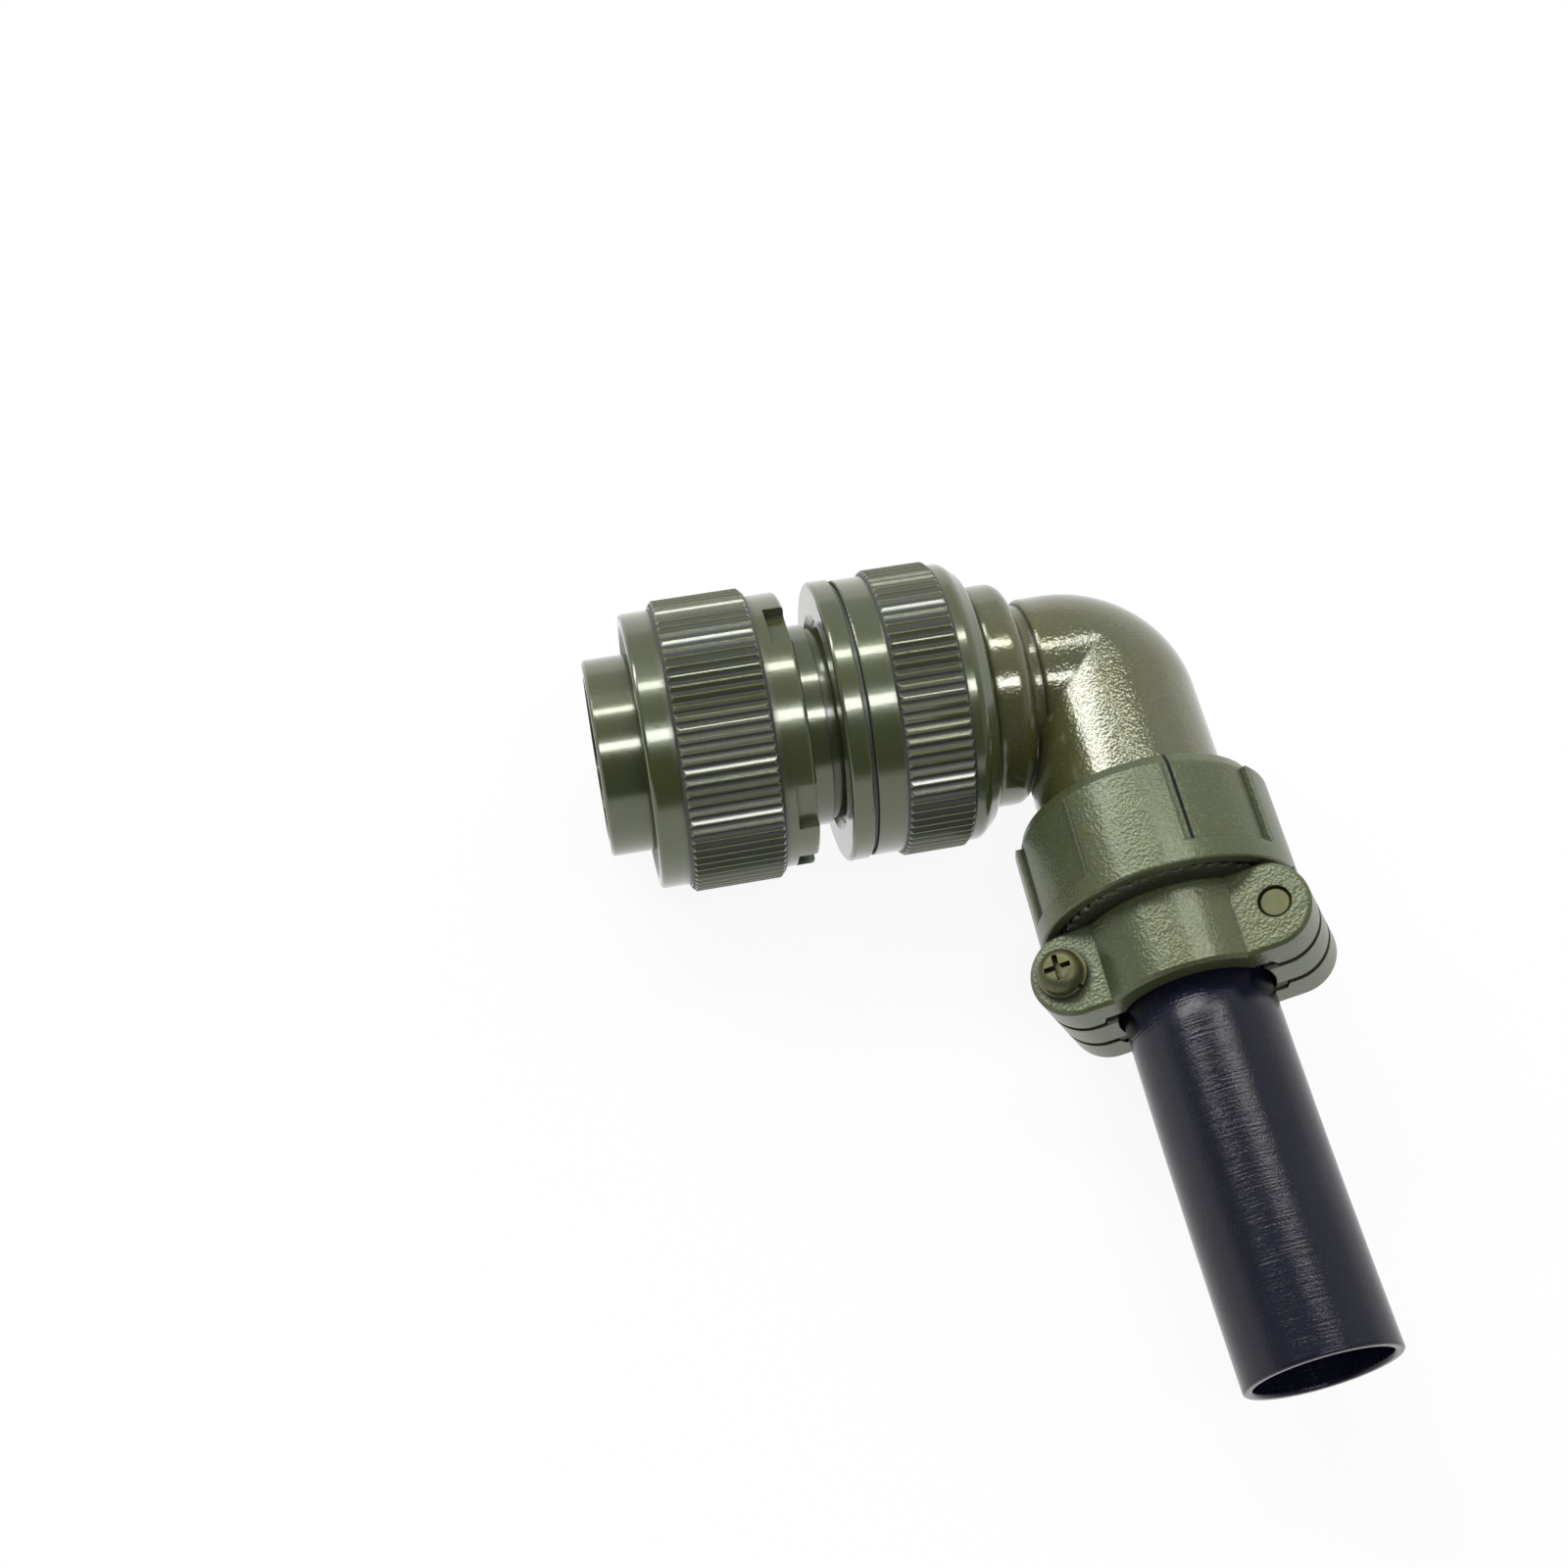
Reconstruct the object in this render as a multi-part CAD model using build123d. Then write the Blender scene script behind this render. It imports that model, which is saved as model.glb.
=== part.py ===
from build123d import *
import math
import os

# Right-angle circular plug connector, shell size 18, lying on its side.
# Millimetres. The origin is the centre of the mating face. Arm A runs along +X from there to the
# elbow, arm B leaves the elbow along -Y, and +Z is up.
# Every piece is built in an arm's own frame, with local X as the station along the arm.
# On arm B local Y is +X before the clamp's turn about the arm.

# Clearances
FACE_GAP = 0.1
RUNNING_GAP = 0.15
ASSEMBLED_GAP = 0.05
THREAD_GAP = 0.12

# Plug shell, from the mating face to its rear thread
BARREL_R = 11.5
BARREL_LENGTH = 13.6
BARREL_EDGE = 0.3
INSERT_R = 10.1
INSERT_NOSE_R = 9.5
FLANGE_R = 13.35
FLANGE_WIDTH = 1.8
NECK_R = 11.8
NECK_LENGTH = 3.9
LAND_R = 12.6
LAND_WIDTH = 1.6
UNDERCUT_R = 11.2
UNDERCUT_WIDTH = 1.8
REAR_THREAD_R = 12.7
REAR_THREAD_PITCH = 1.27
REAR_THREAD_TURNS = 6
SHELL_TAIL = 0.6
KEYWAY_WIDTH = 3.0
KEYWAY_DEPTH = 1.0
KEYWAY_LENGTH = 12.0

# Insulators, their retaining ring and the contacts
INSERT_RECESS = 0.8
NOSE_LENGTH = 5.2
FRONT_INSERT_LENGTH = 3.2
REAR_INSERT_LENGTH = 9.8
INSERT_RING_WIDTH = 1.0
INSERT_RING_BITE = 0.7
INSERT_RING_R = 9.2
CONTACT_R = 1.3
CONTACT_MOUTH_R = 0.8
CONTACT_FLANGE_R = 1.75
CONTACT_FLANGE_WIDTH = 1.0
SOCKET_DEPTH = 8.0
CONTACT_SETBACK = 1.4
SOLDER_CUP_R = 1.5
SOLDER_CUP_LENGTH = 6.0
SOLDER_CUP_BORE_R = 1.0
SOLDER_CUP_DEPTH = 4.5
SOLDER_WINDOW = 2.7
TINE_SLOT = 0.35
TINE_LENGTH = 5.0
OUTER_CONTACTS = 8
OUTER_CONTACT_CIRCLE_R = 6.9
INNER_CONTACTS = 2
INNER_CONTACT_CIRCLE_R = 2.3

# Coupling nut and the spring ring that holds it
NUT_SETBACK = 5.0
NUT_RIM_R = 16.1
NUT_RIM_WIDTH = 3.5
NUT_KNURL_R = 17.065
NUT_KNURL_WIDTH = 10.95
NUT_TEETH = 87
NUT_COLLAR_R = 16.0
NUT_COLLAR_WIDTH = 3.85
NUT_BORE_R = 12.85
COUPLING_THREAD_R = 14.2875
COUPLING_THREAD_PITCH = 1.411
COUPLING_THREAD_TURNS = 5
THREAD_LEAD = 1.0
NUT_EDGE = 0.5
NUT_WEB_WIDTH = 2.1
NUT_FLOAT = 1.6
NOTCH_WIDTH = 5.9
NOTCH_DEPTH = 1.6
NOTCH_LENGTH = 2.4
NOTCH_ANGLES = (16.5, -66.5, -108.5)
NUT_RING_R = 12.05
NUT_RING_OUTER_R = 13.9
NUT_RING_WIDTH = 1.0
NUT_RING_SPLIT = 3.0
NUT_RING_ROOM = 0.6

# Assembly nut that pulls the elbow onto the shell
ASSEMBLY_START = 27.0
ASSEMBLY_RIM_R = 16.5
ASSEMBLY_RIM_WIDTH = 2.5
ASSEMBLY_BAND_R = 16.3
ASSEMBLY_BAND_WIDTH = 3.3
ASSEMBLY_GROOVE_WIDTH = 0.5
ASSEMBLY_GROOVE_DEPTH = 0.5
ASSEMBLY_GROOVE_EDGE = 0.2
ASSEMBLY_KNURL_R = 16.9
ASSEMBLY_KNURL_WIDTH = 8.0
ASSEMBLY_TEETH = 83
ASSEMBLY_SHOULDER_R = 16.4
ASSEMBLY_SHOULDER_WIDTH = 1.4
ASSEMBLY_SHOULDER_FILLET = 1.3
ASSEMBLY_TAIL_R = 14.8
ASSEMBLY_TAIL_WIDTH = 3.2
ASSEMBLY_TAIL_FILLET = 1.0
ASSEMBLY_CAVITY_R = 13.6
ASSEMBLY_MOUTH = 0.7

# Knurling of both nuts
KNURL_DEPTH = 0.4
KNURL_CREST = 0.1
KNURL_ROOT = 0.06
KNURL_EDGE = 0.55

# Gasket, elbow and the snap ring in its spigot
GASKET_THICKNESS = 0.7
GASKET_BAND = 1.5
SPIGOT_R = 11.9
SPIGOT_NOSE = 1.9
SPIGOT_BORE_R = 9.4
SNAP_RING_WIDTH = 1.0
SNAP_RING_R = 13.1
SNAP_RING_BITE = 0.7
SNAP_RING_SPLIT = 3.4
HUMP_R = 13.15
HUMP_WIDTH = 4.5
HUMP_EDGE = 0.9
HUMP_SHOULDER = 1.6
WAIST_R = 10.2
WAIST_WIDTH = 2.1
WAIST_SLOPE = 0.7
TUBE_R = 10.8
TUBE_EDGE = 0.5
THREAD_COLLAR = 0.4
PASSAGE_R = 8.5
ELBOW_X = 59.65
BEND_R = 5.0
BEND_RIDGE = 0.9
CLAMP_START = 19.0
CLAMP_THREAD_R = 12.7
CLAMP_THREAD_PITCH = 1.27
CLAMP_THREAD_TURNS = 9
CROWN_R = 12.1
CROWN_DEPTH = 0.6
CROWN_WIDTH = 1.0
CROWN_TEETH = 40
CROWN_CREST = 0.35
CROWN_ROOT = 0.25

# Cable clamp, turned about arm B
CLAMP_TURN = 24.0
CLAMP_LENGTH = 23.8
RING_LENGTH = 13.8
RING_TOP_R = 13.4
RING_LEAD = 0.8
RING_POCKET_R = 14.1
RING_R = 14.7
RING_SHOULDER = 1.6
RING_SHOULDER_FILLET = 1.5
RING_EDGE = 0.3
RING_EDGE_WIDTH = 2.4
RING_MOUTH_R = 13.4
RING_LANDS = 4
RING_LAND_ANGLE = 48.0
TONGUE_THICKNESS = 4.6
TONGUE_INNER = 8.8
SADDLE_GAP = 0.9
EAR_THICKNESS = 4.8
EAR_REACH = 3.8
SADDLE_WIDTH = 9.7
ARCH_R = 11.0
LIP_THICKNESS = 1.2
LIP_RISE = 0.9
LIP_ROOM = 0.3
EAR_EDGE = 0.4

# Clamp screws and lock washers
SCREW_SPACING = 23.7
SCREW_R = 1.75
SCREW_HOLE_R = 1.9
SCREW_HEAD_R = 2.45
SCREW_HEAD_HEIGHT = 1.8
SCREW_HEAD_FILLET = 1.2
SCREW_END_RECESS = 0.3
SCREW_TIP = 0.3
RECESS_WIDTH = 0.6
RECESS_SPAN = 3.0
RECESS_DEPTH = 1.0
WASHER_THICKNESS = 0.8
WASHER_R = 2.75
WASHER_SPLIT = 0.5

# Rubber sleeve
SLEEVE_R = 8.3
SLEEVE_WALL = 1.05
SLEEVE_VISIBLE = 40.8
SLEEVE_HIDDEN = 27.0
SLEEVE_SWAY = 0.7
SLEEVE_EDGE = 0.3

# Stations along arm A
FLANGE_REAR = BARREL_LENGTH + FLANGE_WIDTH
WEB_FRONT = FLANGE_REAR + FACE_GAP
NUT_RING_FRONT = WEB_FRONT + NUT_WEB_WIDTH
LAND_FRONT = NUT_RING_FRONT + NUT_RING_WIDTH + NUT_FLOAT + FACE_GAP
LAND_REAR = LAND_FRONT + LAND_WIDTH
NECK_END = LAND_REAR + NECK_LENGTH
THREAD_START = NECK_END + UNDERCUT_WIDTH
SHELL_END = THREAD_START + REAR_THREAD_TURNS * REAR_THREAD_PITCH + SHELL_TAIL
SPLIT_LINE = INSERT_RECESS + NOSE_LENGTH + FRONT_INSERT_LENGTH
INSERT_END = SPLIT_LINE + REAR_INSERT_LENGTH
NUT_END = NUT_SETBACK + NUT_RIM_WIDTH + NUT_KNURL_WIDTH + NUT_COLLAR_WIDTH
ASSEMBLY_KNURL_START = ASSEMBLY_START + ASSEMBLY_RIM_WIDTH + ASSEMBLY_GROOVE_WIDTH + ASSEMBLY_BAND_WIDTH
ASSEMBLY_SHOULDER = ASSEMBLY_KNURL_START + ASSEMBLY_KNURL_WIDTH
ASSEMBLY_END = ASSEMBLY_SHOULDER + ASSEMBLY_TAIL_WIDTH
GASKET_END = SHELL_END + GASKET_THICKNESS
SNAP_RING_FRONT = GASKET_END + SPIGOT_NOSE
ASSEMBLY_WALL = SNAP_RING_FRONT + SNAP_RING_WIDTH + FACE_GAP
HUMP_START = ASSEMBLY_END + FACE_GAP
HUMP_END = HUMP_START + HUMP_WIDTH
WAIST_END = HUMP_END + WAIST_WIDTH

# Stations along arm B
CLAMP_THREAD_START = CLAMP_START + RING_LEAD
CROWN_START = CLAMP_THREAD_START + CLAMP_THREAD_TURNS * CLAMP_THREAD_PITCH
ELBOW_END = CROWN_START + CROWN_WIDTH
RING_END = CLAMP_START + RING_LENGTH
CLAMP_END = CLAMP_START + CLAMP_LENGTH
SCREW_STATION = CLAMP_END - SADDLE_WIDTH / 2
SLEEVE_START = CLAMP_END - SLEEVE_HIDDEN

# Heights above the clamp's middle plane
TONGUE_TOP = TONGUE_THICKNESS / 2
EAR_BOTTOM = TONGUE_TOP + SADDLE_GAP
EAR_TOP = EAR_BOTTOM + EAR_THICKNESS

# Radii that follow other pieces
SHELL_BORE_R = INSERT_R + FACE_GAP
NOSE_BORE_R = INSERT_NOSE_R + FACE_GAP
ASSEMBLY_BORE_R = SPIGOT_R + RUNNING_GAP
GASKET_OUTER_R = SPIGOT_R
GASKET_INNER_R = SPIGOT_R - GASKET_BAND
SPIGOT_GROOVE_R = SPIGOT_R - SNAP_RING_BITE
SADDLE_BORE_R = SLEEVE_R + ASSEMBLED_GAP
SLEEVE_BORE_R = SLEEVE_R - SLEEVE_WALL

ARM_B = Plane(origin=(ELBOW_X, 0, 0), x_dir=(0, -1, 0), z_dir=(0, 0, 1))


def turned(*points):
    """Solid of revolution about local X from (station, radius) or (station, radius, fillet) points."""
    corners = [(p[0], p[1]) for p in points]
    radii = [p[2] if len(p) > 2 else 0 for p in points]
    outline = FilletPolyline(*corners, radius=radii, close=True)
    return revolve(make_face(outline), Axis.X, 360)


def disc(start, end, radius, edge=0.0):
    """Plain cylinder about local X with both rims chamfered by edge."""
    if edge == 0:
        return turned((start, 0), (start, radius), (end, radius), (end, 0))
    return turned(
        (start, 0), (start, radius - edge), (start + edge, radius),
        (end - edge, radius), (end, radius - edge), (end, 0),
    )


def ring(start, end, inner, outer, edge=0.0):
    """Washer about local X with its outer rims chamfered by edge."""
    return disc(start, end, outer, edge) - disc(start - 1, end + 1, inner)


def block(x, y, z):
    """Box from three (low, high) pairs."""
    return Pos(x[0], y[0], z[0]) * Box(x[1] - x[0], y[1] - y[0], z[1] - z[0], align=Align.MIN)


def thread_root(pitch, major_r):
    """Root radius of a 60 degree thread with a flat crest of pitch / 8 and a flat root of pitch / 4."""
    return major_r - 5 / 16 * pitch * math.sqrt(3)


def thread_points(start, turns, pitch, major_r):
    """Outline of a row of ridges, one per pitch, with half a root before the first and after the last."""
    root = thread_root(pitch, major_r)
    points = []
    for turn in range(turns):
        middle = start + (turn + 1 / 2) * pitch
        points += [
            (middle - 3 / 8 * pitch, root),
            (middle - pitch / 16, major_r),
            (middle + pitch / 16, major_r),
            (middle + 3 / 8 * pitch, root),
        ]
    return points


def toothed(start, end, radius, teeth, depth, crest, root):
    """Prism along local X with straight teeth; crest and root are shares of the pitch that are flat."""
    flank = (1 - crest - root) / 2
    steps = ((0, radius), (crest, radius), (crest + flank, radius - depth), (1 - flank, radius - depth))
    points = []
    for tooth in range(teeth):
        for share, r in steps:
            angle = 2 * math.pi * (tooth + share) / teeth
            points.append((r * math.cos(angle), r * math.sin(angle)))
    face = Plane.YZ.offset(start) * make_face(Polyline(*points, close=True))
    return extrude(face, end - start)


def knurl(start, end, radius, teeth):
    """Knurled band with both ends bevelled."""
    return toothed(start, end, radius, teeth, KNURL_DEPTH, KNURL_CREST, KNURL_ROOT) & disc(
        start, end, radius, KNURL_EDGE
    )


def split(start, end, width, inner, outer):
    """Cutter that opens a spring ring on the side away from +Z."""
    return block((start - 1, end + 1), (-width / 2, width / 2), (-outer - 1, -inner + 1))


def contact_places():
    """Centres of the contacts in the mating face."""
    places = []
    circles = ((OUTER_CONTACTS, OUTER_CONTACT_CIRCLE_R), (INNER_CONTACTS, INNER_CONTACT_CIRCLE_R))
    for count, radius in circles:
        for index in range(count):
            angle = 2 * math.pi * (index + 0.5) / count
            places.append((radius * math.cos(angle), radius * math.sin(angle)))
    return places


def plug_shell():
    """Barrel, nut flange, neck, undercut and rear thread in one turned piece with a keyway."""
    step = INSERT_RECESS + NOSE_LENGTH
    ring_end = INSERT_END + INSERT_RING_WIDTH
    root = thread_root(REAR_THREAD_PITCH, REAR_THREAD_R)
    blank = turned(
        (0, NOSE_BORE_R),
        (0, BARREL_R - BARREL_EDGE),
        (BARREL_EDGE, BARREL_R),
        (BARREL_LENGTH, BARREL_R),
        (BARREL_LENGTH, FLANGE_R),
        (FLANGE_REAR, FLANGE_R),
        (FLANGE_REAR, NECK_R),
        (LAND_FRONT, NECK_R),
        (LAND_FRONT, LAND_R),
        (LAND_REAR, LAND_R),
        (LAND_REAR, NECK_R),
        (NECK_END, NECK_R),
        (NECK_END, UNDERCUT_R),
        (THREAD_START, UNDERCUT_R),
        *thread_points(THREAD_START, REAR_THREAD_TURNS, REAR_THREAD_PITCH, REAR_THREAD_R),
        (SHELL_END, root),
        (SHELL_END, SHELL_BORE_R),
        (ring_end, SHELL_BORE_R),
        (ring_end, SHELL_BORE_R + INSERT_RING_BITE),
        (INSERT_END, SHELL_BORE_R + INSERT_RING_BITE),
        (INSERT_END, SHELL_BORE_R),
        (step, SHELL_BORE_R),
        (step, NOSE_BORE_R),
    )
    keyway = block(
        (-1, KEYWAY_LENGTH), (-KEYWAY_WIDTH / 2, KEYWAY_WIDTH / 2), (-BARREL_R - 1, KEYWAY_DEPTH - BARREL_R)
    )
    return blank - keyway


def contact_bores(start, end, radius):
    """One straight cutter per contact."""
    return [Pos(0, y, z) * disc(start, end, radius) for y, z in contact_places()]


def front_insulator():
    """Hard face with one mouth per contact; its step seats in the shell."""
    step = INSERT_RECESS + NOSE_LENGTH
    body = disc(INSERT_RECESS, step, INSERT_NOSE_R) + disc(step, SPLIT_LINE, INSERT_R)
    body -= contact_bores(INSERT_RECESS - 1, SPLIT_LINE, CONTACT_MOUTH_R + RUNNING_GAP)
    body -= contact_bores(INSERT_RECESS + CONTACT_SETBACK, SPLIT_LINE, CONTACT_R + ASSEMBLED_GAP)
    pocket = SPLIT_LINE - CONTACT_FLANGE_WIDTH / 2
    body -= contact_bores(pocket, SPLIT_LINE + 1, CONTACT_FLANGE_R + ASSEMBLED_GAP)
    return body


def rear_insulator():
    """Thick disc behind the contact flanges, held by the retaining ring."""
    body = disc(SPLIT_LINE, INSERT_END, INSERT_R)
    body -= contact_bores(SPLIT_LINE, INSERT_END + 1, CONTACT_R + ASSEMBLED_GAP)
    pocket = SPLIT_LINE + CONTACT_FLANGE_WIDTH / 2
    body -= contact_bores(SPLIT_LINE - 1, pocket, CONTACT_FLANGE_R + ASSEMBLED_GAP)
    return body


def insulator_ring():
    """Split ring sprung into the shell's inner groove."""
    outer = SHELL_BORE_R + INSERT_RING_BITE - ASSEMBLED_GAP
    body = ring(INSERT_END, INSERT_END + INSERT_RING_WIDTH, INSERT_RING_R, outer)
    return body - split(INSERT_END, INSERT_END + INSERT_RING_WIDTH, NUT_RING_SPLIT, INSERT_RING_R, outer)


def contact():
    """Socket contact about local X: slotted socket, retention flange and open solder cup."""
    front = INSERT_RECESS + CONTACT_SETBACK
    half_flange = CONTACT_FLANGE_WIDTH / 2
    end = INSERT_END + SOLDER_CUP_LENGTH
    body = disc(front, INSERT_END, CONTACT_R, CONTACT_R / 6)
    body += disc(SPLIT_LINE - half_flange, SPLIT_LINE + half_flange, CONTACT_FLANGE_R)
    body += disc(INSERT_END, end, SOLDER_CUP_R)
    body -= disc(front - 1, front + SOCKET_DEPTH, CONTACT_MOUTH_R)
    body -= disc(end - SOLDER_CUP_DEPTH, end + 1, SOLDER_CUP_BORE_R)
    tine = (front - 1, front + TINE_LENGTH)
    body -= block(tine, (-CONTACT_R - 1, CONTACT_R + 1), (-TINE_SLOT / 2, TINE_SLOT / 2))
    window = (end - SOLDER_WINDOW, end + 1)
    return body - block(window, (-SOLDER_CUP_R - 1, SOLDER_CUP_R + 1), (0, SOLDER_CUP_R + 1))


def notch(angle):
    """Cutter for one flat-floored spanner notch, open to the nut's rear edge."""
    floor = NUT_COLLAR_R - NOTCH_DEPTH
    cutter = block(
        (NUT_END - NOTCH_LENGTH, NUT_END + 1),
        (-NOTCH_WIDTH / 2, NOTCH_WIDTH / 2),
        (floor, NUT_COLLAR_R + 1),
    )
    return Rot(-angle, 0, 0) * cutter


def coupling_nut():
    """Knurled nut with a coupling thread in front, a web and a notched rear collar."""
    knurl_start = NUT_SETBACK + NUT_RIM_WIDTH
    knurl_end = knurl_start + NUT_KNURL_WIDTH
    blank = turned(
        (NUT_SETBACK, 0),
        (NUT_SETBACK, NUT_RIM_R, NUT_EDGE),
        (knurl_start + 1, NUT_RIM_R),
        (knurl_start + 1, NUT_COLLAR_R),
        (NUT_END, NUT_COLLAR_R, NUT_EDGE),
        (NUT_END, 0),
    )
    blank += knurl(knurl_start, knurl_end, NUT_KNURL_R, NUT_TEETH)
    thread_start = NUT_SETBACK + THREAD_LEAD
    thread_r = COUPLING_THREAD_R + THREAD_GAP
    ring_front = NUT_RING_FRONT - ASSEMBLED_GAP
    ring_rear = NUT_RING_FRONT + NUT_RING_WIDTH + ASSEMBLED_GAP
    groove_r = NUT_RING_OUTER_R + NUT_RING_ROOM
    blank -= turned(
        (NUT_SETBACK - 1, 0),
        (NUT_SETBACK - 1, thread_r + THREAD_LEAD),
        (NUT_SETBACK, thread_r + THREAD_LEAD / 2),
        *thread_points(thread_start, COUPLING_THREAD_TURNS, COUPLING_THREAD_PITCH, thread_r),
        (WEB_FRONT, thread_root(COUPLING_THREAD_PITCH, thread_r)),
        (WEB_FRONT, NUT_BORE_R),
        (ring_front, NUT_BORE_R),
        (ring_front, groove_r),
        (ring_rear, groove_r),
        (ring_rear, NUT_BORE_R),
        (NUT_END + 1, NUT_BORE_R),
        (NUT_END + 1, 0),
    )
    for turn in (0, 180):
        for angle in NOTCH_ANGLES:
            blank -= notch(angle + turn)
    return blank


def nut_retaining_ring():
    """Split spring ring that floats with the coupling nut between the flange and the land."""
    end = NUT_RING_FRONT + NUT_RING_WIDTH
    body = ring(NUT_RING_FRONT, end, NUT_RING_R, NUT_RING_OUTER_R)
    return body - split(NUT_RING_FRONT, end, NUT_RING_SPLIT, NUT_RING_R, NUT_RING_OUTER_R)


def assembly_nut():
    """Knurled nut, threaded on the shell, whose rear wall pulls on the elbow's snap ring."""
    groove = ASSEMBLY_START + ASSEMBLY_RIM_WIDTH
    groove_end = groove + ASSEMBLY_GROOVE_WIDTH
    blank = turned(
        (ASSEMBLY_START, 0),
        (ASSEMBLY_START, ASSEMBLY_RIM_R, NUT_EDGE),
        (groove, ASSEMBLY_RIM_R, ASSEMBLY_GROOVE_EDGE),
        (groove, ASSEMBLY_BAND_R - ASSEMBLY_GROOVE_DEPTH),
        (groove_end, ASSEMBLY_BAND_R - ASSEMBLY_GROOVE_DEPTH),
        (groove_end, ASSEMBLY_BAND_R, ASSEMBLY_GROOVE_EDGE),
        (ASSEMBLY_KNURL_START + 1, ASSEMBLY_BAND_R),
        (ASSEMBLY_KNURL_START + 1, ASSEMBLY_SHOULDER_R),
        (ASSEMBLY_SHOULDER + ASSEMBLY_SHOULDER_WIDTH, ASSEMBLY_SHOULDER_R, ASSEMBLY_SHOULDER_FILLET),
        (ASSEMBLY_END, ASSEMBLY_TAIL_R, ASSEMBLY_TAIL_FILLET),
        (ASSEMBLY_END, 0),
    )
    blank += knurl(ASSEMBLY_KNURL_START, ASSEMBLY_SHOULDER, ASSEMBLY_KNURL_R, ASSEMBLY_TEETH)
    thread_r = REAR_THREAD_R + THREAD_GAP
    root = thread_root(REAR_THREAD_PITCH, thread_r)
    cavity = THREAD_START + REAR_THREAD_TURNS * REAR_THREAD_PITCH + REAR_THREAD_PITCH / 4
    return blank - turned(
        (ASSEMBLY_START - 1, 0),
        (ASSEMBLY_START - 1, root + ASSEMBLY_MOUTH + 1),
        (ASSEMBLY_START + ASSEMBLY_MOUTH, root),
        *thread_points(THREAD_START, REAR_THREAD_TURNS, REAR_THREAD_PITCH, thread_r),
        (cavity, root),
        (cavity, ASSEMBLY_CAVITY_R),
        (ASSEMBLY_WALL, ASSEMBLY_CAVITY_R),
        (ASSEMBLY_WALL, ASSEMBLY_BORE_R),
        (ASSEMBLY_END + 1, ASSEMBLY_BORE_R),
        (ASSEMBLY_END + 1, 0),
    )


def joint_gasket():
    """Flat seal between the shell's rear face and the elbow."""
    return ring(SHELL_END, GASKET_END, GASKET_INNER_R, GASKET_OUTER_R)


def elbow_snap_ring():
    """Split ring in the elbow's spigot that the assembly nut pulls on."""
    end = SNAP_RING_FRONT + SNAP_RING_WIDTH
    inner = SPIGOT_GROOVE_R + ASSEMBLED_GAP
    body = ring(SNAP_RING_FRONT, end, inner, SNAP_RING_R)
    return body - split(SNAP_RING_FRONT, end, SNAP_RING_SPLIT, inner, SNAP_RING_R)


def bend(radius):
    """Corner of two crossing tubes: mitred inside up to the top, and turned about a pivot outside."""
    start = ELBOW_X - BEND_R
    pivot = Axis((start, -BEND_R, 0), (0, 0, 1))
    outer_side = Pos(BEND_RIDGE + radius, 0) * Rectangle(2 * radius, 2 * radius)
    section = Plane.YZ.offset(start) * (Circle(radius) & outer_side)
    corner = revolve(section, pivot, -90)
    crossing = disc(start, ELBOW_X + radius, radius) + arm_b(disc(-radius, BEND_R, radius))
    inner_side = Plane.YZ.offset(start) * (
        Pos((BEND_RIDGE - BEND_R) / 2, 0) * Rectangle(BEND_R + BEND_RIDGE, 2 * radius + 2)
    )
    return corner + (crossing & revolve(inner_side, pivot, -90))


def arm_b(shape, turn=0):
    """Place a piece that was built about local X on arm B, turned about that arm."""
    return ARM_B.location * Rot(turn, 0, 0) * shape


def elbow():
    """Cast elbow: spigot, hump and tube on arm A, a tight bend, then tube, thread and crown on arm B."""
    snap_end = SNAP_RING_FRONT + SNAP_RING_WIDTH
    outside = turned(
        (GASKET_END, 0),
        (GASKET_END, SPIGOT_R),
        (SNAP_RING_FRONT, SPIGOT_R),
        (SNAP_RING_FRONT, SPIGOT_GROOVE_R),
        (snap_end, SPIGOT_GROOVE_R),
        (snap_end, SPIGOT_R),
        (HUMP_START, SPIGOT_R),
        (HUMP_START, HUMP_R, HUMP_EDGE),
        (HUMP_END, HUMP_R, HUMP_SHOULDER),
        (HUMP_END + WAIST_SLOPE, WAIST_R, WAIST_SLOPE),
        (WAIST_END, WAIST_R),
        (WAIST_END, TUBE_R, TUBE_EDGE),
        (ELBOW_X - BEND_R, TUBE_R),
        (ELBOW_X - BEND_R, 0),
    )
    outside += bend(TUBE_R)
    root = thread_root(CLAMP_THREAD_PITCH, CLAMP_THREAD_R)
    outside += arm_b(turned(
        (BEND_R, 0),
        (BEND_R, TUBE_R),
        (CLAMP_THREAD_START - THREAD_COLLAR, TUBE_R),
        *thread_points(CLAMP_THREAD_START, CLAMP_THREAD_TURNS, CLAMP_THREAD_PITCH, CLAMP_THREAD_R),
        (CROWN_START, root),
        (CROWN_START, 0),
    ))
    outside += arm_b(toothed(CROWN_START - ASSEMBLED_GAP, ELBOW_END, CROWN_R, CROWN_TEETH, CROWN_DEPTH,
                             CROWN_CREST, CROWN_ROOT))
    passage = turned(
        (GASKET_END - 1, 0),
        (GASKET_END - 1, SPIGOT_BORE_R),
        (HUMP_START, SPIGOT_BORE_R),
        (HUMP_START + SPIGOT_BORE_R - PASSAGE_R, PASSAGE_R),
        (ELBOW_X - BEND_R, PASSAGE_R),
        (ELBOW_X - BEND_R, 0),
    )
    passage += bend(PASSAGE_R)
    passage += arm_b(disc(BEND_R, ELBOW_END + 1, PASSAGE_R))
    return outside - passage


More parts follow.
